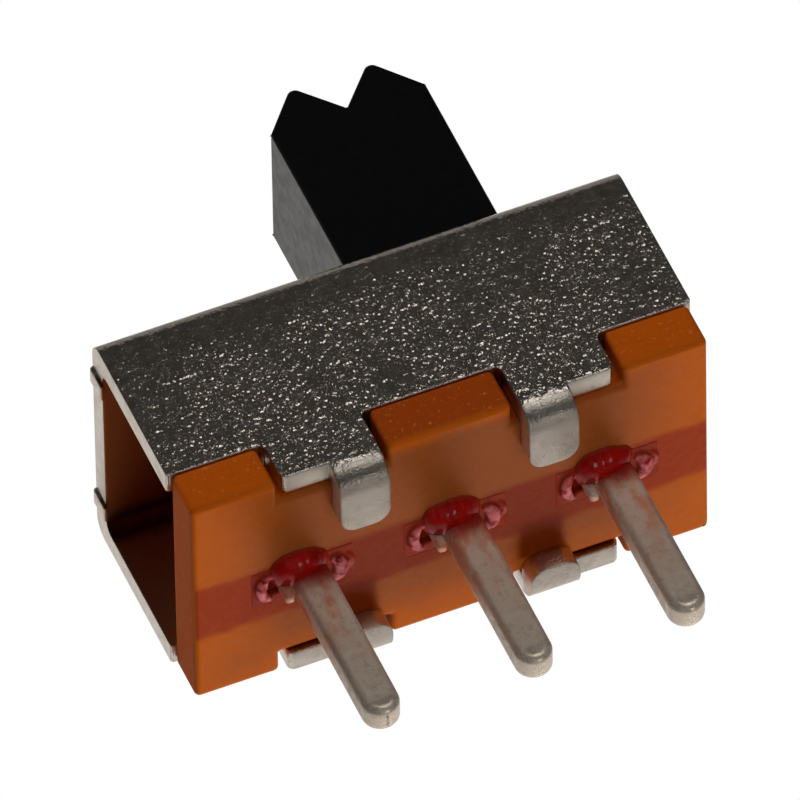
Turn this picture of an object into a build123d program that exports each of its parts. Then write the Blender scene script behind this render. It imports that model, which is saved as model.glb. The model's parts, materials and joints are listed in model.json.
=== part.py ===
from build123d import *
import os

# Miniature slide switch for a printed circuit board: one pole, two positions.
# A folded steel frame is clenched round a laminate board that carries three terminals.
# A plastic slider runs under the frame's top and carries a spring clip along the terminals.
#
# All sizes are in millimetres. X is the way the slider travels, Y goes from the front wall to
# the back wall and +Z points to the knob. The origin lies under the middle of the frame, in
# the plane of the circuit board that the switch is soldered to.

# Frame, folded from one sheet
sheet = 0.38                 # thickness of the sheet
frame_length = 8.6
frame_width = 4.44           # over the outsides of the two walls
wall_height = 2.92           # from the top face down to the walls' lower edges
bend_outside = 0.3           # outer radius of the two long bends
bend_inside = 0.2
slot_corner = 0.15           # radius in the corners of the knob's slot
end_corner = 0.06            # radius on the walls' four lower corners
stub_inset = 0.78            # from a wall's outside to the stub left where the strip was cut
stub_width = 0.32
stub_length = 0.06           # how far a stub stands out of the frame's end
stub_burr = 0.07             # how far its burr hangs below the sheet
stub_edge = 0.05

# Lugs, which pass through the board's notches, and the fingers bent under the board
lug_inner = 1.14             # from the middle of the switch to a lug's nearer side
lug_width = 1.58
lug_root = 0.12              # radius where a lug leaves the wall
front_shoulder = 0.07        # the front lugs' shoulders stop this far inside the board's lower face
back_shoulder = -0.06        # the back lugs' shoulders reach past that face
shoulder_corner = 0.12
finger_width = 0.81
front_reach = 1.2            # from the wall's outside to a front finger's tip
back_reach = 0.78            # the same for the back fingers, which were clenched shorter
finger_inside = 0.05         # inner radius of the bend
finger_tip = 0.27            # radius on the tip's two corners

# Board
board_length = 8.46
board_thickness = 0.8
board_corner = 0.1
notch_clearance = 0.13       # beside a lug, on each side
tang_clearance = 0.06        # round a terminal in its slot

# Terminals, each stamped from one strip
pitch = 2.5
row_x = 0.05                 # the row of terminals lies a little off the middle of the frame
row_y = 0.13
pin_offset = 0.08            # from the middle of a terminal's tang to its pin
terminal_thickness = 0.5
pin_width = 0.6
pin_reach = 3.12             # from the board's lower face to the pin's tip
pin_edge = 0.12              # rounding along the pin's edges
tang_width = 1.4
tang_recess = 0.14           # the tang ends this far inside the board's lower face
tooth_width = 0.15           # the staking tooth beside each pin
tooth_thickness = 0.14
tooth_reach = 0.38
tooth_tip = 0.06             # radius on the tooth's tip
tooth_gap = 0.05             # between tooth and pin
blade_width = 1.9
blade_height = 1.3           # above the board's upper face
blade_corner = 0.2

# Slider, one moulding
travel = 2.7
knob_width = 2.56            # along X
knob_depth = 2.42            # along Y
knob_shoulder = 3.46         # the knob's outer edges above the frame's top
knob_peak = 4.22             # the two ridges, before they are rounded
knob_valley = 3.5
ridge_radius = 0.13
knob_edge = 0.04
slider_edge = 0.2            # rounding along the slider's upper edges, inside the frame's bends
running = 0.05               # clearance all round the slider, and round the knob in its slot
blade_room = 0.12            # between a blade and the slider's channel

# Contact clip
clip_length = 3.5
clip_sheet = 0.14
clip_clearance = 0.03        # between the clip and a blade
clip_lift = 0.2              # the clip's lower edges above the board
clip_slit = 0.4              # parts the clip's two pairs of arms
clip_bend = 0.2              # outer radius of the clip's two bends

# Sealing lacquer
seal_length = 1.3
seal_width = 0.8
seal_depth = 0.3             # how far it creeps down the pin
seal_edge = 0.2
seal_offset = 0.12           # the drop sits this far towards the front wall

# Levels and half sizes that follow from the sizes above
board_bottom = sheet
board_top = board_bottom + board_thickness
frame_top = board_top + wall_height
inside_top = frame_top - sheet
inside_width = frame_width - 2 * sheet
front = -frame_width / 2
rest_x = travel / 2
slot_length = knob_width + travel + 2 * running
slot_width = knob_depth + 2 * running
finger_bend = sheet + finger_inside
stub_place = frame_width / 2 - stub_inset
blade_top = board_top + blade_height
clip_gap = terminal_thickness + 2 * clip_clearance
clip_width = clip_gap + 2 * clip_sheet
clip_top = blade_top + blade_room + clip_sheet
channel_width = terminal_thickness + 2 * blade_room
slider_length = 2 * (frame_length / 2 - rest_x - running)


def span(x_size, y_size, low, high):
    """A box centred on the Z axis, from one level to another."""
    return Pos(0, 0, (low + high) / 2) * Box(x_size, y_size, high - low)


def four_ways(solid):
    """A solid and its mirror images across the switch's two middle planes."""
    pair = solid + mirror(solid, about=Plane.YZ)
    return pair + mirror(pair, about=Plane.XZ)


def upright(sketch, thickness):
    """A sketch of X and Z, stood up and given its thickness equally to the front and the back."""
    return extrude(Plane.XZ * sketch, thickness / 2, both=True)


# Frame

def channel():
    outer = span(frame_length, frame_width, board_top, frame_top)
    long_edges = outer.edges().filter_by(Axis.X).group_by(Axis.Z)[-1]
    outer = fillet(long_edges, bend_outside)
    lower_corners = outer.edges().filter_by(Axis.Y).group_by(Axis.Z)[0]
    outer = fillet(lower_corners, end_corner)
    inner = span(2 * frame_length, inside_width, board_top - sheet, inside_top)
    inner = fillet(inner.edges().filter_by(Axis.X).group_by(Axis.Z)[-1], bend_inside)
    return outer - inner


def knob_slot():
    opening = RectangleRounded(slot_length, slot_width, slot_corner)
    return extrude(Plane.XY.offset(inside_top - sheet) * opening, 3 * sheet)


def strip_stubs():
    """What is left at the frame's ends of the tabs that held it to the strip."""
    stub = span(stub_length, stub_width, inside_top - stub_burr, frame_top)
    stub = fillet(stub.faces().sort_by(Axis.X)[-1].edges(), stub_edge)
    return four_ways(Pos((frame_length + stub_length) / 2, stub_place, 0) * stub)


def lug(shoulder):
    """One lug at the back right: its flat part in the wall's plane, with a rounded root."""
    shoulder_level = board_bottom + shoulder
    height = board_top + sheet - shoulder_level
    middle = lug_inner + lug_width / 2
    root = Pos(middle, board_top + sheet) * Rectangle(2 * lug_width, 2 * sheet)
    tongue = Pos(middle, shoulder_level + height / 2) * Rectangle(lug_width, height)
    blank = root + tongue
    on_edge = blank.vertices().filter_by(lambda v: abs(v.Y - board_top) < sheet / 10)
    roots = on_edge.filter_by(lambda v: abs(v.X - middle) < 0.6 * lug_width)
    blank = fillet(roots, lug_root)
    outer_corner = blank.vertices().group_by(Axis.Y)[0].sort_by(Axis.X)[-1]
    blank = fillet(outer_corner, shoulder_corner)
    wall = upright(blank, sheet)
    return Pos(0, -front - sheet / 2, 0) * wall


def finger(reach):
    """The narrow part of the same lug, bent inwards under the board."""
    back = -front
    root = board_bottom + front_shoulder + shoulder_corner
    outline = Polyline(
        (back, root),
        (back, 0),
        (back - reach, 0),
        (back - reach, sheet),
        (back - sheet, sheet),
        (back - sheet, root),
        close=True,
    )
    profile = make_face(outline)
    corner = profile.vertices().sort_by_distance((back, 0, 0))[0]
    profile = fillet(corner, finger_bend)
    inner_corner = profile.vertices().sort_by_distance((back - sheet, sheet, 0))[0]
    profile = fillet(inner_corner, finger_inside)
    bent = extrude(Plane.YZ * profile, finger_width)
    tip_edges = bent.edges().filter_by(Axis.Z).group_by(Axis.Y)[0]
    return Pos(lug_inner, 0, 0) * fillet(tip_edges, finger_tip)


def metal_frame():
    back_right = lug(back_shoulder) + finger(back_reach)
    front_right = mirror(lug(front_shoulder) + finger(front_reach), about=Plane.XZ)
    right = back_right + front_right
    return channel() - knob_slot() + strip_stubs() + right + mirror(right, about=Plane.YZ)


# Terminals

def pin():
    straight = pin_reach - pin_width / 2
    shank = Pos(0, board_bottom - straight / 2) * Rectangle(pin_width, straight)
    tip = Pos(0, board_bottom - straight) * Circle(pin_width / 2)
    solid = upright(shank + tip, terminal_thickness)
    flat_faces = solid.faces().filter_by(Axis.Y)
    outline = flat_faces.edges().filter_by(lambda e: e.center().Z < board_bottom - pin_edge / 2)
    return fillet(outline, pin_edge)


def tooth():
    """A short tooth beside the pin, pressed out of the tang to stake the terminal."""
    length = tooth_reach + tang_recess
    middle = board_bottom - tooth_reach + length / 2
    place = -(pin_width + tooth_width) / 2 - tooth_gap
    solid = Pos(place, 0, middle) * Box(tooth_width, tooth_thickness, length)
    return fillet(solid.edges().filter_by(Axis.Y).group_by(Axis.Z)[0], tooth_tip)


def terminal():
    tang_end = board_bottom + tang_recess
    blade = Pos(0, (board_top + blade_top) / 2) * Rectangle(blade_width, blade_height)
    blade = fillet(blade.vertices().group_by(Axis.Y)[-1], blade_corner)
    tang = Pos(0, (tang_end + board_top) / 2) * Rectangle(tang_width, board_top - tang_end)
    neck = Pos(pin_offset, (board_bottom + tang_end) / 2) * Rectangle(pin_width, tang_recess)
    return upright(blade + tang + neck, terminal_thickness) + Pos(pin_offset, 0, 0) * (pin() + tooth())


# Board

def notch():
    width = lug_width + 2 * notch_clearance
    notch_depth = sheet + finger_inside
    centre = lug_inner + lug_width / 2
    cut = span(width, 2 * notch_depth, board_bottom - sheet, board_top + sheet)
    return Pos(centre, -front, 0) * cut


def tang_slot():
    width = tang_width + 2 * tang_clearance
    thickness = terminal_thickness + 2 * tang_clearance
    return span(width, thickness, board_bottom - sheet, board_top + sheet)


def terminal_board():
    board = span(board_length, frame_width, board_bottom, board_top)
    board = fillet(board.edges().filter_by(Axis.Z), board_corner) - four_ways(notch())
    for place in (-pitch, 0, pitch):
        board = board - Pos(row_x + place, row_y, 0) * tang_slot()
    return board


# Slider

def knob():
    half = knob_width / 2
    foot = inside_top - running
    outline = Polyline(
        (-half, foot),
        (-half, frame_top + knob_shoulder),
        (-half / 2, frame_top + knob_peak),
        (0, frame_top + knob_valley),
        (half / 2, frame_top + knob_peak),
        (half, frame_top + knob_shoulder),
        (half, foot),
        close=True,
    )
    profile = make_face(outline)
    profile = fillet(profile.vertices().group_by(Axis.Y)[-1], ridge_radius)
    solid = upright(profile, knob_depth)
    ends = solid.faces().filter_by(Axis.Y).edges()
    return fillet(ends.filter_by(lambda e: e.center().Z > foot + knob_edge), knob_edge)


def slider_block():
    width = inside_width - 2 * running
    block = span(slider_length, width, board_top + running, inside_top - running)
    upper = block.edges().filter_by(Axis.X).group_by(Axis.Z)[-1]
    return fillet(upper, slider_edge)


def slider():
    low = board_top
    channel_cut = span(2 * slider_length, channel_width, low, blade_top + blade_room)
    pocket = span(clip_length, clip_width, low, clip_top)
    body = slider_block() + knob() - Pos(row_x, row_y, 0) * (channel_cut + pocket)
    return Pos(rest_x, 0, 0) * body


def contact_clip():
    """A sheet folded into an upside-down U, slit so that two pairs of arms grip the blades."""
    low = board_top + clip_lift
    outer = span(clip_length, clip_width, low, clip_top)
    outer = fillet(outer.edges().filter_by(Axis.X).group_by(Axis.Z)[-1], clip_bend)
    inner = span(2 * clip_length, clip_gap, low - clip_lift, clip_top - clip_sheet)
    inner = fillet(inner.edges().filter_by(Axis.X).group_by(Axis.Z)[-1], clip_bend - clip_sheet)
    slit = span(clip_slit, 2 * clip_width, low - clip_lift, blade_top)
    return Pos(rest_x + row_x, row_y, 0) * (outer - inner - slit)


# Sealing lacquer

def seal():
    outline = Plane.XY.offset(board_bottom - seal_depth) * Ellipse(seal_length / 2, seal_width / 2)
    drop = extrude(outline, seal_depth)
    drop = fillet(drop.edges().group_by(Axis.Z)[0], seal_edge)
    return Pos(0, -seal_offset, 0) * drop - terminal()


def write(name, shape):
    export_step(shape, f"parts/{name}.step")


def main():
    os.makedirs("parts", exist_ok=True)
    write("metal_frame", metal_frame())
    write("terminal_board", terminal_board())
    write("slider", slider())
    write("contact_clip", contact_clip())
    for side, place in (("left", -pitch), ("centre", 0), ("right", pitch)):
        write(f"terminal_{side}", Pos(row_x + place, row_y, 0) * terminal())
        write(f"seal_{side}", Pos(row_x + place, row_y, 0) * seal())


main()
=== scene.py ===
import json
import math
import random

import bmesh
import bpy
from mathutils import Matrix, Vector


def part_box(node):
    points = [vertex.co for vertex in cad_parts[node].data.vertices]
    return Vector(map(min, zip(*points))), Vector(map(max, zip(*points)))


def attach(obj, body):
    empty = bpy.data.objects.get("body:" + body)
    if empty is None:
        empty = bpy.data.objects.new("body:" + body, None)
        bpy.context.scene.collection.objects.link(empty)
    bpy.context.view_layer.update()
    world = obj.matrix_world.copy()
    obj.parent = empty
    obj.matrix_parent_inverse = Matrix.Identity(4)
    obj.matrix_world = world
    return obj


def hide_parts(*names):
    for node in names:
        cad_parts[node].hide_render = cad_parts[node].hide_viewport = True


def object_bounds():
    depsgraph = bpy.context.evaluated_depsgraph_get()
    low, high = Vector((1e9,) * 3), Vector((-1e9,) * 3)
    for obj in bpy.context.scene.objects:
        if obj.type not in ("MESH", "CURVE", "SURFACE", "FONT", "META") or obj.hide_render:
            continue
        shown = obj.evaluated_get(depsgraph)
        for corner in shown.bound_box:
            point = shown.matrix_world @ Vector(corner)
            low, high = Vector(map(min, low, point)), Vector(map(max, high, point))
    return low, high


# Looks of the miniature slide switch: plated sheet steel frame, laminate terminal board, plated
# terminals sealed with red lacquer, black moulded slider and spring bronze contact clip.
# Blender's lengths are in metres, and MM turns millimetres into them. The materials and the
# lacquer's shapes are worked out in millimetres.

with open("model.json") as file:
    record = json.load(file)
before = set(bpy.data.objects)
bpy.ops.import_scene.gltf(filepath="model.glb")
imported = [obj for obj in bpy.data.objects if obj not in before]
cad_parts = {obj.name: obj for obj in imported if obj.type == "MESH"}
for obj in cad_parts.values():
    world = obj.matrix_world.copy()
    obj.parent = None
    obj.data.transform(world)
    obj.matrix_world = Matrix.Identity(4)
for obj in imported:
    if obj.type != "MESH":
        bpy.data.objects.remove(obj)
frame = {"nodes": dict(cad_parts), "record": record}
cad_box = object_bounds()

MM = 0.001
TERMINALS = ["terminal_left", "terminal_centre", "terminal_right"]
SEALS = ["seal_left", "seal_centre", "seal_right"]

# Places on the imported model, in millimetres
board_low, board_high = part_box("terminal_board")
metal_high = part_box("metal_frame")[1]
centre_low, centre_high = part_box("terminal_centre")
BOARD_END = board_high.x / MM
BOARD_FRONT = board_low.y / MM
BOARD_BACK = board_high.y / MM
BOARD_UNDER = board_low.z / MM
BOARD_TOP = board_high.z / MM
METAL_BACK = metal_high.y / MM
METAL_TOP = metal_high.z / MM
SHEET = BOARD_UNDER          # the bent fingers, one sheet thick, carry the board
ROW_X = (centre_low.x + centre_high.x) / 2 / MM
ROW_Y = (centre_low.y + centre_high.y) / 2 / MM
PIN_FRONT = centre_low.y / MM
PIN_TIP = cad_box[0].z / MM
HALF_PITCH = (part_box("terminal_right")[0].x - centre_low.x) / 2 / MM
BACK_SEATS = [mount["pos_m"] for mount in frame["record"]["mounts"]
              if mount["name"].startswith("pcb_seat_back")]
STRIPE_OFFSET = 0.13         # the lacquered stripe lies this far behind the row of terminals


# ---------------------------------------------------------------- node helpers

def node(tree, kind, inputs=None, **settings):
    """Adds a shader node; inputs are given by name or index, as sockets or plain values."""
    made = tree.nodes.new("ShaderNode" + kind)
    for name, value in settings.items():
        setattr(made, name, value)
    for key, value in (inputs or {}).items():
        socket = made.inputs[key]
        if isinstance(value, bpy.types.NodeSocket):
            tree.links.new(value, socket)
        elif isinstance(value, tuple) and socket.type == "RGBA":
            socket.default_value = (*value, 1)
        else:
            socket.default_value = value
    return made


def math_node(tree, operation, a, b=0.0):
    return node(tree, "Math", {0: a, 1: b}, operation=operation).outputs[0]


def plus(tree, a, b):
    return math_node(tree, "ADD", a, b)


def minus(tree, a, b):
    return math_node(tree, "SUBTRACT", a, b)


def times(tree, a, b):
    return math_node(tree, "MULTIPLY", a, b)


def absolute(tree, a):
    return math_node(tree, "ABSOLUTE", a)


def smaller(tree, a, b):
    return math_node(tree, "MINIMUM", a, b)


def larger(tree, a, b):
    return math_node(tree, "MAXIMUM", a, b)


def ramp(tree, value, start, end, low=0.0, high=1.0):
    """A smooth step from low to high as value goes from start to end."""
    made = node(
        tree, "MapRange",
        {"Value": value, "From Min": start, "From Max": end, "To Min": low, "To Max": high},
        interpolation_type="SMOOTHSTEP",
    )
    return made.outputs["Result"]


def mix(tree, share, a, b):
    """Goes from colour a to colour b as share goes from 0 to 1."""
    return node(tree, "Mix", {0: share, 6: a, 7: b}, data_type="RGBA").outputs[2]


def noise(tree, place, scale, detail=3.0, roughness=0.55):
    made = node(
        tree, "TexNoise",
        {"Vector": place, "Scale": scale, "Detail": detail, "Roughness": roughness},
    )
    return made.outputs["Fac"]


def wander(tree, value, low, high):
    """Spreads the middle of a noise over low to high."""
    return ramp(tree, value, 0.3, 0.7, low, high)


def millimetres(tree, stretch=(1, 1, 1)):
    """The place on the piece in millimetres, each axis multiplied by stretch."""
    place = node(tree, "TexCoord").outputs["Object"]
    scale = tuple(s / MM for s in stretch)
    return node(tree, "Mapping", {"Vector": place, "Scale": scale}).outputs["Vector"]


def split(tree, vector):
    return node(tree, "SeparateXYZ", {0: vector}).outputs


def relief(tree, height, depth, wear=None, samples=8):
    """A bump of the height, depth millimetres deep. With wear, a radius in millimetres, it
    also shades the edges as rounded."""
    inputs = {"Height": height, "Strength": 1.0, "Distance": depth * MM}
    if wear:
        worn = node(tree, "Bevel", {"Radius": wear * MM}, samples=samples)
        inputs["Normal"] = worn.outputs[0]
    return node(tree, "Bump", inputs).outputs[0]


def new_material(name):
    material = bpy.data.materials.new(name)
    material.use_nodes = True
    material.node_tree.nodes.clear()
    return material, material.node_tree


def show(tree, shader, kind="OutputMaterial"):
    """Links a shader's output to the surface of a new output node."""
    output = node(tree, kind)
    tree.links.new(shader, output.inputs["Surface"])


def surface(tree, inputs):
    show(tree, node(tree, "BsdfPrincipled", inputs).outputs[0])


# ---------------------------------------------------------------- materials

def plated_steel():
    """Nickel-plated strip: orange peel on its faces, streaks in its bends, dull sheared edges."""
    clean = (0.73, 0.65, 0.565)
    stained = (0.60, 0.52, 0.44)
    spotted = (0.24, 0.21, 0.19)
    # colours of the painted shade and painted reflection inside the frame
    brown_tone = (0.47, 0.155, 0.045)
    pale_painted_reflection = (0.66, 0.46, 0.33)
    dark_painted_shade = (0.09, 0.03, 0.01)
    peel_scale = 17
    grain_scale = 30

    material, tree = new_material("plated_steel")
    place = millimetres(tree)
    at = split(tree, place)
    normal = split(tree, node(tree, "TexCoord").outputs["Normal"])
    sideways = absolute(tree, normal["X"])
    downwards = times(tree, normal["Z"], -1.0)
    sheared = ramp(tree, larger(tree, sideways, downwards), 0.80, 0.97)
    rolled = minus(tree, 1.0, sheared)
    bent = times(tree, ramp(tree, downwards, 0.15, 0.4), rolled)

    # the inside is painted brown as painted shade with a painted reflection of the board, and has
    # little relief
    from_wall = minus(tree, METAL_BACK, absolute(tree, at["Y"]))
    from_top = minus(tree, METAL_TOP, at["Z"])
    inside = ramp(tree, smaller(tree, from_wall, from_top), SHEET * 0.45, SHEET * 0.75)
    inside = times(tree, inside, ramp(tree, sideways, 0.85, 0.6))
    inside = times(tree, inside, ramp(tree, at["Z"], BOARD_UNDER, BOARD_TOP))
    rolled = times(tree, rolled, minus(tree, 1.0, times(tree, inside, 0.9)))

    # the orange peel comes in patches
    peel = noise(tree, millimetres(tree, (1, 0.65, 0.65)), peel_scale, detail=1, roughness=0.4)
    patches = ramp(tree, noise(tree, place, 0.6, detail=2), 0.36, 0.56, 0.6, 1.0)
    # it fades towards the fold at the top, and stops at the fingers
    patches = times(tree, patches, ramp(tree, from_top, 0.35, 1.0, 0.45, 1.0))
    patches = times(tree, patches, ramp(tree, at["Z"], SHEET - 0.15, SHEET + 0.25))
    # the front wall has it at its roughest, and the bends have none
    patches = times(tree, patches, ramp(tree, normal["Y"], -0.85, -0.4, 1.0, 0.45))
    patches = times(tree, patches, minus(tree, 1.0, bent))
    peel = times(tree, peel, times(tree, patches, rolled))

    # streaks in the bends of the lugs, and a fine grain that is strongest there
    streaks = noise(tree, millimetres(tree, (1, 0.15, 0.15)), peel_scale, detail=2)
    streaks = times(tree, streaks, times(tree, bent, 0.35))
    streaks = times(tree, streaks, minus(tree, 1.0, inside))
    lug = larger(tree, bent, ramp(tree, at["Z"], SHEET, SHEET * 0.7))
    grain = noise(tree, place, grain_scale, detail=2)
    grain = times(tree, grain, plus(tree, times(tree, lug, 0.22), 0.03))
    height = plus(tree, plus(tree, peel, streaks), grain)

    stain = ramp(tree, noise(tree, place, 3.2, detail=4, roughness=0.65), 0.45, 0.75)
    colour = mix(tree, stain, clean, stained)
    spots = ramp(tree, noise(tree, place, 9, detail=3), 0.64, 0.72)
    colour = mix(tree, times(tree, spots, 0.45), colour, spotted)
    # painted shade inside the frame: paler towards the back wall as a painted reflection of light,
    # darkest in the top back corner as painted shade
    film = mix(tree, ramp(tree, at["Y"], 1.3, 2.0), brown_tone, pale_painted_reflection)
    corner = times(
        tree,
        ramp(tree, at["Y"], METAL_BACK - 0.9, METAL_BACK - 0.5),
        ramp(tree, at["Z"], METAL_TOP - 0.9, METAL_TOP - 0.5),
    )
    film = mix(tree, corner, film, dark_painted_shade)
    colour = mix(tree, inside, colour, film)

    rough = wander(tree, noise(tree, place, 6, detail=4), 0.18, 0.26)
    rough = plus(tree, rough, times(tree, sheared, 0.14))
    rough = plus(tree, rough, times(tree, inside, 0.2))
    rough = plus(tree, rough, ramp(tree, at["Z"], SHEET, SHEET * 0.7, 0.0, 0.14))
    surface(tree, {
        "Base Color": colour,
        "Metallic": 1.0,
        "Roughness": rough,
        "Normal": relief(tree, height, 0.037, wear=0.05, samples=6),
    })
    return material


def laminate():
    """Paper laminate: brown in its middle, and painted more orange towards its ends and its back, as
    painted light shining in through it.
    """
    # the orange colours are a painted glow, where light shines in at the ends and the back
    orange = (0.40, 0.078, 0.002)
    brown = (0.225, 0.054, 0.011)
    cut_orange = (0.52, 0.092, 0.003)
    cut_brown = (0.35, 0.056, 0.004)
    pale_fleck = (0.62, 0.22, 0.07)
    dark_fibre = (0.12, 0.02, 0.002)
    stripe_end = (0.215, 0.015, 0.003)
    stripe_middle = (0.150, 0.012, 0.004)
    shadow = (0.12, 0.012, 0.0005)

    material, tree = new_material("laminate")
    place = millimetres(tree)
    at = split(tree, place)
    from_end = minus(tree, BOARD_END, absolute(tree, at["X"]))
    from_back = minus(tree, BOARD_BACK, at["Y"])
    from_front = minus(tree, at["Y"], BOARD_FRONT)
    level = minus(tree, at["Z"], BOARD_UNDER)
    # painted glow: more orange towards the ends, the back and the front edge
    edge = smaller(tree, times(tree, from_back, 1.6), times(tree, from_front, 6.0))
    edge = smaller(tree, from_end, edge)
    edge = plus(tree, edge, times(tree, noise(tree, place, 0.8, detail=3), 1.2))
    colour = mix(tree, ramp(tree, edge, 0.6, 2.6), orange, brown)

    # deeper orange with pale flecks where the edges are cut, with a painted glow of orange near the
    # ends
    cut = ramp(tree, level, 0.02, 0.12)
    cut_colour = mix(tree, ramp(tree, from_end, 0.8, 3.2), cut_orange, cut_brown)
    colour = mix(tree, cut, colour, cut_colour)
    flecks = ramp(tree, noise(tree, place, 15, detail=2), 0.62, 0.72)
    flecks = times(tree, times(tree, flecks, cut), 0.5)
    colour = mix(tree, flecks, colour, pale_fleck)
    fibre = noise(tree, millimetres(tree, (0.35, 1, 1)), 14, detail=4, roughness=0.6)
    colour = mix(tree, ramp(tree, fibre, 0.35, 0.85, 0.0, 0.14), colour, dark_fibre)

    # the lacquered stripe along the row of terminals, on the lower face only
    across = absolute(tree, minus(tree, at["Y"], ROW_Y + STRIPE_OFFSET))
    across = plus(tree, across, times(tree, noise(tree, place, 1.6, detail=2), 0.25))
    stripe = minus(tree, 1.0, ramp(tree, across, 0.62, 0.80))
    stripe = times(tree, stripe, ramp(tree, level, 0.03, 0.01, 0.0, 0.8))
    lacquered = mix(tree, ramp(tree, from_end, 1.0, 3.0), stripe_end, stripe_middle)
    colour = mix(tree, stripe, colour, lacquered)

    # the photo's shadow beside the end of each back finger, drawn as a darker colour
    for seat in BACK_SEATS:
        aside = absolute(tree, minus(tree, at["X"], seat[0] / MM - 0.08))
        before = minus(tree, seat[1] / MM - 0.17, at["Y"])
        shade = times(tree, ramp(tree, aside, 0.46, 0.28), ramp(tree, before, 0.85, 0.6))
        shade = times(tree, shade, ramp(tree, before, -0.1, 0.0, 0.0, 0.9))
        shade = times(tree, shade, ramp(tree, level, 0.03, 0.01))
        colour = mix(tree, shade, colour, shadow)

    height = plus(tree, noise(tree, place, 4, detail=5, roughness=0.6), times(tree, fibre, 0.25))
    rough = wander(tree, noise(tree, place, 7, detail=3), 0.22, 0.32)
    rough = plus(tree, rough, times(tree, cut, 0.35))
    surface(tree, {
        "Base Color": colour,
        "Roughness": rough,
        "Normal": relief(tree, height, 0.003, wear=0.07),
        "Specular IOR Level": 0.03,
    })
    return material


def plated_brass():
    """Silver plate over brass: dull, with coppery wear and drawing marks along the pins."""
    silver = (0.64, 0.54, 0.44)
    copper = (0.62, 0.27, 0.16)
    grimy = (0.30, 0.25, 0.20)
    red_film = (0.32, 0.02, 0.015)

    material, tree = new_material("plated_brass")
    place = millimetres(tree)
    at = split(tree, place)
    worn = noise(tree, millimetres(tree, (1, 1, 0.5)), 3.2, detail=4, roughness=0.6)
    worn = times(tree, ramp(tree, worn, 0.42, 0.60), ramp(tree, at["Z"], -2.2, 0.0))
    colour = mix(tree, worn, silver, copper)
    grime = ramp(tree, noise(tree, place, 12, detail=4, roughness=0.7), 0.50, 0.74)
    colour = mix(tree, times(tree, grime, 0.5), colour, grimy)

    # a thin red film of lacquer on the front face, next to the board
    film = plus(tree, at["Z"], times(tree, noise(tree, place, 5, detail=2), 0.2))
    film = ramp(tree, film, -0.14, 0.30)
    film = times(tree, film, ramp(tree, at["Z"], BOARD_TOP, BOARD_UNDER + 0.2))
    front = ramp(tree, at["Y"], PIN_FRONT + 0.2, PIN_FRONT)
    colour = mix(tree, times(tree, film, front), colour, red_film)

    # drawing marks and dents, which fade out at the smooth tip
    height = plus(
        tree,
        noise(tree, millimetres(tree, (1, 1, 0.3)), 16, detail=3),
        times(tree, noise(tree, place, 5, detail=3), 1.6),
    )
    tip = ramp(tree, at["Z"], PIN_TIP + 0.5, PIN_TIP + 0.2)
    height = times(tree, height, minus(tree, 1.0, times(tree, tip, 0.9)))
    rough = wander(tree, noise(tree, place, 8, detail=3), 0.40, 0.56)
    rough = minus(tree, rough, times(tree, tip, 0.2))
    surface(tree, {
        "Base Color": colour,
        "Metallic": 0.6,
        "Roughness": rough,
        "Normal": relief(tree, height, 0.006, wear=0.09),
        "Specular IOR Level": 0.2,
    })
    return material


def black_plastic():
    """Satin black moulding with a faint texture and a little dust."""
    black = (0.0034, 0.0034, 0.0035)
    dusty = (0.012, 0.012, 0.012)

    material, tree = new_material("black_plastic")
    place = millimetres(tree)
    dust = ramp(tree, noise(tree, place, 18, detail=3), 0.62, 0.8)
    height = plus(
        tree,
        noise(tree, place, 34, detail=3),
        times(tree, noise(tree, place, 2.5, detail=2), 2.0),
    )
    surface(tree, {
        "Base Color": mix(tree, times(tree, dust, 0.15), black, dusty),
        "Roughness": wander(tree, noise(tree, place, 5, detail=3), 0.28, 0.36),
        "Normal": relief(tree, height, 0.001),
        "Specular IOR Level": 0.18,
    })
    return material


def spring_bronze():
    """Bright rolled spring sheet."""
    pale = (0.78, 0.50, 0.30)
    deep = (0.66, 0.42, 0.25)

    material, tree = new_material("spring_bronze")
    streaks = noise(tree, millimetres(tree, (0.2, 1, 1)), 30, detail=3)
    surface(tree, {
        "Base Color": mix(tree, streaks, pale, deep),
        "Metallic": 1.0,
        "Roughness": wander(tree, streaks, 0.22, 0.34),
        "Normal": relief(tree, streaks, 0.002),
    })
    return material


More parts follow.
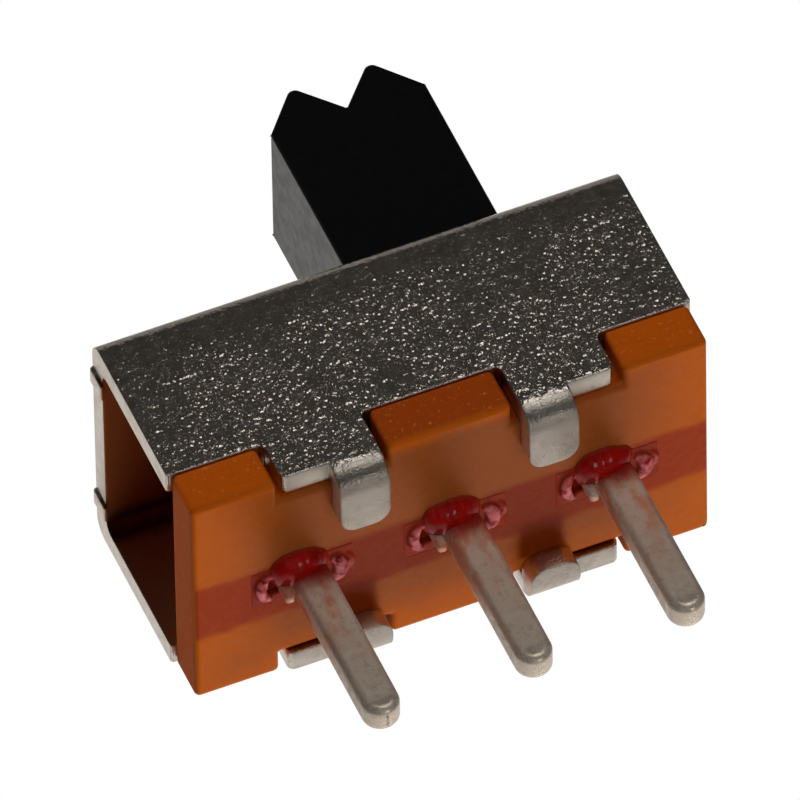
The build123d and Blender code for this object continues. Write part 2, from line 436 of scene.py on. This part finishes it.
def red_lacquer():
    """Glossy red sealing lacquer: red where it is thick, brown and less glossy as a film."""
    dark_red = (0.16, 0.0012, 0.0008)
    bright_red = (0.27, 0.003, 0.002)
    # the rims' pale colour is thin lacquer and a painted highlight
    pale_rim_and_highlight = (0.50, 0.13, 0.13)
    brown_tone = (0.185, 0.016, 0.005)

    material, tree = new_material("red_lacquer")
    place = millimetres(tree)
    at = split(tree, place)
    cloud = noise(tree, place, 3.5, detail=3)
    colour = mix(tree, wander(tree, cloud, 0.0, 1.0), dark_red, bright_red)

    # the rims at the slot's two ends are paler than the heap: thinner lacquer, with a painted
    # highlight
    along = minus(tree, at["X"], ROW_X)
    along = node(tree, "Math", {0: along, 1: HALF_PITCH, 2: -HALF_PITCH}, operation="WRAP")
    from_pin = absolute(tree, plus(tree, along.outputs[0], 0.04))
    rim_and_highlight = ramp(tree, from_pin, 0.40, 0.52)
    rim_and_highlight = times(tree, rim_and_highlight, ramp(tree, at["Y"], ROW_Y - 0.32, ROW_Y - 0.22))
    rim_and_highlight = times(tree, rim_and_highlight, ramp(tree, noise(tree, place, 7, detail=2), 0.35, 0.6))
    colour = mix(tree, times(tree, rim_and_highlight, 0.8), colour, pale_rim_and_highlight)

    # a thin film shows the brown board through it
    thick = ramp(tree, minus(tree, BOARD_UNDER, at["Z"]), 0.025, 0.07)
    colour = mix(tree, thick, brown_tone, colour)

    rough = wander(tree, noise(tree, place, 9, detail=2), 0.12, 0.2)
    rough = plus(tree, rough, 0.15)
    surface(tree, {
        "Base Color": colour,
        "Roughness": rough,
        "Normal": relief(tree, noise(tree, place, 3, detail=1), 0.006),
        "Specular IOR Level": 0.04,
        "Coat Weight": times(tree, thick, 0.5),
        "Coat Roughness": 0.12,
    })
    return material


def give(name, material):
    mesh = frame["nodes"][name].data
    mesh.materials.clear()
    mesh.materials.append(material)


# ---------------------------------------------------------------- rounding of the CAD edges

WELD_GAP = 0.0005 * MM       # corners nearer than this are one corner
FLAT_ANGLE = 0.6             # faces that meet at less than this, in degrees, are one face
SHARP_ANGLE = 35.0           # edges sharper than this, in degrees, are rounded
FACE_WEIGHT = 80             # how much the large faces decide the shading of the small ones


def soften(name, width, segments=2, smooth=True):
    """Rounds a CAD node's sharp edges by width, with modifiers only. Without smooth, its large
    faces stay dead flat and are cut into well-shaped triangles."""
    part = frame["nodes"][name]
    for polygon in part.data.polygons:
        polygon.use_smooth = smooth
    weld = part.modifiers.new("weld", "WELD")
    weld.merge_threshold = WELD_GAP
    flatten = part.modifiers.new("flatten", "DECIMATE")
    flatten.decimate_type = "DISSOLVE"
    flatten.angle_limit = math.radians(FLAT_ANGLE)
    round_off = part.modifiers.new("round_off", "BEVEL")
    round_off.width = width
    round_off.segments = segments
    round_off.limit_method = "ANGLE"
    round_off.angle_limit = math.radians(SHARP_ANGLE)
    if smooth:
        weigh = part.modifiers.new("weigh", "WEIGHTED_NORMAL")
        weigh.weight = FACE_WEIGHT
    else:
        cut = part.modifiers.new("cut", "TRIANGULATE")
        cut.ngon_method = "BEAUTY"


# ---------------------------------------------------------------- lacquer at the pins' feet

HEAP_STEPS = 18
ARC_STEPS = 16
SLAB_THICKNESS = 0.2
FILM_PROUD = 0.006           # the film stands this far proud of the board
HOLLOW_PROUD = -0.12         # the hollow's floor lies below the board's face
VOXEL = 0.016                # the remesh fails silently at this size in metres, so it is in mm


def lacquer_drop(terminal, seal, seed):
    """Lacquer brushed round one terminal: a heap in front of the pin and rims at the slot's ends."""
    low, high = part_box(terminal)
    middle = Vector(((low.x + high.x) / 2, (low.y + high.y) / 2, board_low.z)) / MM
    draw = random.Random(seed)
    mesh = bmesh.new()

    def bead(x, y, radius, depth, stretch=(1, 1, 1)):
        """An ellipsoid whose lowest point stands depth below the board's face."""
        place = middle + Vector((x, y, radius * stretch[2] - depth))
        matrix = Matrix.Translation(place) @ Matrix.Diagonal((*stretch, 1))
        bmesh.ops.create_icosphere(mesh, subdivisions=3, radius=radius, matrix=matrix)

    def slab(left, right, front, back, proud):
        """A block that fills part of the slot and stands proud of the board."""
        place = Vector(((left + right) / 2, (front + back) / 2, SLAB_THICKNESS / 2 - proud))
        size = (right - left, back - front, SLAB_THICKNESS, 1)
        matrix = Matrix.Translation(middle + place) @ Matrix.Diagonal(size)
        bmesh.ops.create_cube(mesh, size=1, matrix=matrix)

    def arc(centre, reach, start, end, radius, depth):
        """Beads along an arc, thinner towards its ends."""
        for step in range(ARC_STEPS + 1):
            share = step / ARC_STEPS
            turn = math.radians(start + (end - start) * share)
            bulge = math.sin(math.pi * share)
            size = radius * (0.6 + 0.4 * bulge) + draw.uniform(-0.01, 0.01)
            x = centre[0] + reach[0] * math.cos(turn)
            y = centre[1] + reach[1] * math.sin(turn)
            bead(x, y, size, depth * (0.5 + 0.5 * bulge))

    # the heap, which leans on the pin's front face
    for step in range(HEAP_STEPS + 1):
        share = step / HEAP_STEPS
        bulge = math.sin(math.pi * (0.25 + 0.6 * share))
        x = -0.37 + 0.64 * share
        y = -0.27 + draw.uniform(-0.02, 0.02)
        bead(x, y, 0.2, 0.04 + 0.2 * bulge, (0.95, 1.45 + 0.45 * bulge, 1.5))
    # the film that fills the slot level with the board, but for a hollow left of the pin
    slab(-0.38, 0.85, -0.40, 0.40, FILM_PROUD)
    slab(-0.85, -0.58, -0.40, 0.40, FILM_PROUD)
    slab(-0.70, -0.30, -0.40, -0.18, FILM_PROUD)
    slab(-0.70, -0.30, 0.20, 0.40, FILM_PROUD)
    slab(-0.70, -0.30, -0.30, 0.30, HOLLOW_PROUD)
    # rims round the slot's two ends, and an outer one on the right
    arc((-0.50, 0.0), (0.19, 0.28), 108, 255, 0.10, 0.12)
    arc((0.47, 0.04), (0.16, 0.22), -75, 88, 0.12, 0.14)
    arc((0.50, 0.0), (0.31, 0.30), -40, 40, 0.06, 0.05)

    shape = bpy.data.meshes.new("shape")
    mesh.to_mesh(shape)
    mesh.free()
    model = bpy.data.objects.new("model", shape)
    bpy.context.scene.collection.objects.link(model)
    melt = model.modifiers.new("melt", "REMESH")
    melt.mode = "VOXEL"
    melt.voxel_size = VOXEL
    melt.use_smooth_shade = True
    relax = model.modifiers.new("relax", "SMOOTH")
    relax.iterations = 8
    relax.factor = 0.7
    graph = bpy.context.evaluated_depsgraph_get()
    data = bpy.data.meshes.new_from_object(model.evaluated_get(graph))
    bpy.data.objects.remove(model)
    data.transform(Matrix.Scale(MM, 4))
    data.name = "lacquer_" + seal
    piece = bpy.data.objects.new("lacquer_" + seal.removeprefix("seal_"), data)
    bpy.context.scene.collection.objects.link(piece)
    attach(piece, "housing")
    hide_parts(seal)
    return piece


# ---------------------------------------------------------------- camera, light and floor

VIEW_AZIMUTH = -17.4         # these three in degrees
VIEW_ELEVATION = -36.29
VIEW_ROLL = -28.95
VIEW_DISTANCE = 455.06 * MM
VIEW_RIGHT = 0.147 * MM      # the aim lies this far to the right of the object's middle
VIEW_UP = 0.136 * MM
LENS = 1350                  # a long lens, in millimetres on a 36 mm sensor
SENSOR = 36
CLIP_NEAR = 0.01
CLIP_FAR = 2.0

LAMP_DISTANCE = 70 * MM
# name, direction from the switch, radiance, side in millimetres, whether reflections see it
LAMPS = [
    ("softbox", (0.24, -0.97, 0.0), 1.5, 36, True),
    ("glint", (0.24, -0.13, -0.96), 3.0, 16, True),
    ("fill_front", (0.24, -0.97, 0.0), 0.8, 60, False),
    ("table_bounce", (0.22, 0.88, -0.40), 11.0, 40, False),
    ("fill_low", (0, -0.35, -0.94), 1.9, 60, False),
    ("fill_high", (-0.3, -0.2, 0.93), 2.9, 60, False),
]

DARK_LEVEL = 0.031           # the studio's darkest side
TABLE_LEVEL = 0.68           # the bright table, and its slope with height
TABLE_SLOPE = -0.09
HORIZON_LEVEL = 0.2
HORIZON_DIRECTION = (0, 0.35, 0.94)
HORIZON_EDGE = 60            # degrees from its middle, where the horizon starts to glow
HORIZON_FULL = 25
WARMTH = (0.98, 0.96)        # green and blue as shares of red

TENT_RADIUS = 120 * MM
FLOOR_HALF = 150 * MM
FLOOR_COLOUR = (0.86, 0.86, 0.86)
FLOOR_LIFT = 0.22            # glow that only the camera sees
WHITE = (1, 1, 1)


def add_camera():
    """Looks up at the pins from the front left, as if the switch lay on its back."""
    azimuth, elevation = math.radians(VIEW_AZIMUTH), math.radians(VIEW_ELEVATION)
    back = Vector((math.sin(azimuth) * math.cos(elevation),
                   -math.cos(azimuth) * math.cos(elevation), math.sin(elevation)))
    turn = (-back).to_track_quat("-Z", "Y").to_matrix().to_4x4()
    turn = turn @ Matrix.Rotation(math.radians(VIEW_ROLL), 4, "Z")
    centre = (cad_box[0] + cad_box[1]) / 2
    aim = centre + turn.to_3x3() @ Vector((VIEW_RIGHT, VIEW_UP, 0))
    data = bpy.data.cameras.new("camera")
    data.lens = LENS
    data.sensor_width = SENSOR
    data.clip_start = CLIP_NEAR
    data.clip_end = CLIP_FAR
    camera = bpy.data.objects.new("camera", data)
    camera.matrix_world = Matrix.Translation(aim + back * VIEW_DISTANCE) @ turn
    bpy.context.scene.collection.objects.link(camera)
    bpy.context.scene.camera = camera


def add_softbox(name, toward, radiance, side, mirrored):
    """A square lamp in a direction from the object, facing it."""
    size = side * MM
    data = bpy.data.lights.new(name, "AREA")
    data.shape = "SQUARE"
    data.size = size
    data.energy = radiance * math.pi * size ** 2
    lamp = bpy.data.objects.new(name, data)
    centre = (cad_box[0] + cad_box[1]) / 2
    direction = Vector(toward).normalized()
    lamp.location = centre + direction * LAMP_DISTANCE
    lamp.rotation_mode = "QUATERNION"
    lamp.rotation_quaternion = direction.to_track_quat("Z", "Y")
    lamp.visible_camera = False
    lamp.visible_glossy = mirrored
    bpy.context.scene.collection.objects.link(lamp)


def studio_light(tree, direction):
    """The studio's light by direction from the switch: a bright table towards +Y, a grey horizon
    beyond the knob, and darkness on the side that the photo was taken from."""
    at = split(tree, direction)
    along = node(tree, "VectorMath", {0: direction, 1: Vector(HORIZON_DIRECTION).normalized()},
                 operation="DOT_PRODUCT").outputs["Value"]
    edge = math.cos(math.radians(HORIZON_EDGE))
    full = math.cos(math.radians(HORIZON_FULL))
    horizon = ramp(tree, along, edge, full, 0.0, HORIZON_LEVEL)
    slope = plus(tree, times(tree, at["Z"], TABLE_SLOPE), TABLE_LEVEL)
    table = times(tree, ramp(tree, at["Y"], 0.2, 0.85), slope)
    level = plus(tree, plus(tree, table, horizon), DARK_LEVEL)
    green = times(tree, level, WARMTH[0])
    blue = times(tree, level, WARMTH[1])
    return node(tree, "CombineColor", {0: level, 1: green, 2: blue}).outputs[0]


def add_world():
    """A white background, and the studio's light on the switch. The tent hides this white from
    reflections."""
    world = bpy.data.worlds.new("studio")
    bpy.context.scene.world = world
    world.use_nodes = True
    tree = world.node_tree
    tree.nodes.clear()
    radiance = studio_light(tree, node(tree, "TexCoord").outputs["Generated"])
    light_path = node(tree, "LightPath").outputs
    seen = larger(tree, light_path["Is Camera Ray"], light_path["Is Glossy Ray"])
    seen = larger(tree, seen, light_path["Is Transmission Ray"])
    colour = mix(tree, seen, radiance, WHITE)
    background = node(tree, "Background", {"Color": colour, "Strength": 1.0}).outputs[0]
    show(tree, background, "OutputWorld")


def add_tent():
    """A light tent round the switch. Only reflections see it, in place of the white background."""
    mesh = bpy.data.meshes.new("tent")
    ball = bmesh.new()
    bmesh.ops.create_icosphere(ball, subdivisions=4, radius=TENT_RADIUS)
    ball.to_mesh(mesh)
    ball.free()
    tent = bpy.data.objects.new("tent", mesh)
    tent.location = (cad_box[0] + cad_box[1]) / 2
    bpy.context.scene.collection.objects.link(tent)
    material, tree = new_material("tent")
    place = node(tree, "TexCoord").outputs["Object"]
    direction = node(tree, "VectorMath", {0: place}, operation="NORMALIZE").outputs[0]
    light = studio_light(tree, direction)
    show(tree, node(tree, "Emission", {"Color": light, "Strength": 1.0}).outputs[0])
    material.cycles.emission_sampling = "NONE"
    mesh.materials.append(material)
    tent.visible_camera = False
    tent.visible_diffuse = False
    tent.visible_transmission = False
    tent.visible_volume_scatter = False
    tent.visible_shadow = False


def add_floor():
    """A pale floor at the pins' tips. From below it is clear, and neither reflections nor the
    light that falls on the switch see it."""
    level = cad_box[0].z
    mesh = bpy.data.meshes.new("floor")
    corners = [
        (-FLOOR_HALF, -FLOOR_HALF, level),
        (FLOOR_HALF, -FLOOR_HALF, level),
        (FLOOR_HALF, FLOOR_HALF, level),
        (-FLOOR_HALF, FLOOR_HALF, level),
    ]
    mesh.from_pydata(corners, [], [(0, 1, 2, 3)])
    floor = bpy.data.objects.new("floor", mesh)
    bpy.context.scene.collection.objects.link(floor)
    material, tree = new_material("floor")
    shade = node(tree, "BsdfDiffuse", {"Color": FLOOR_COLOUR}).outputs[0]
    lift = times(tree, node(tree, "LightPath").outputs["Is Camera Ray"], FLOOR_LIFT)
    glow = node(tree, "Emission", {"Color": WHITE, "Strength": lift}).outputs[0]
    lit = node(tree, "AddShader", {0: shade, 1: glow}).outputs[0]
    clear = node(tree, "BsdfTransparent").outputs[0]
    behind = node(tree, "NewGeometry").outputs["Backfacing"]
    show(tree, node(tree, "MixShader", {0: behind, 1: lit, 2: clear}).outputs[0])
    mesh.materials.append(material)
    floor.visible_diffuse = False
    floor.visible_glossy = False
    floor.visible_transmission = False
    floor.visible_shadow = False


# ---------------------------------------------------------------- the switch

give("metal_frame", plated_steel())
give("terminal_board", laminate())
brass = plated_brass()
for name in TERMINALS:
    give(name, brass)
give("slider", black_plastic())
give("contact_clip", spring_bronze())

soften("metal_frame", 0.05 * MM, segments=3)
soften("terminal_board", 0.09 * MM, segments=6, smooth=False)
soften("slider", 0.04 * MM)
soften("contact_clip", 0.02 * MM)
for name in TERMINALS:
    soften(name, 0.02 * MM)

lacquer = red_lacquer()
for seed, (terminal, seal) in enumerate(zip(TERMINALS, SEALS)):
    drop = lacquer_drop(terminal, seal, seed)
    drop.data.materials.append(lacquer)

add_camera()
add_world()
add_tent()
add_floor()
for lamp in LAMPS:
    add_softbox(*lamp)

bpy.context.scene.view_settings.view_transform = "Standard"
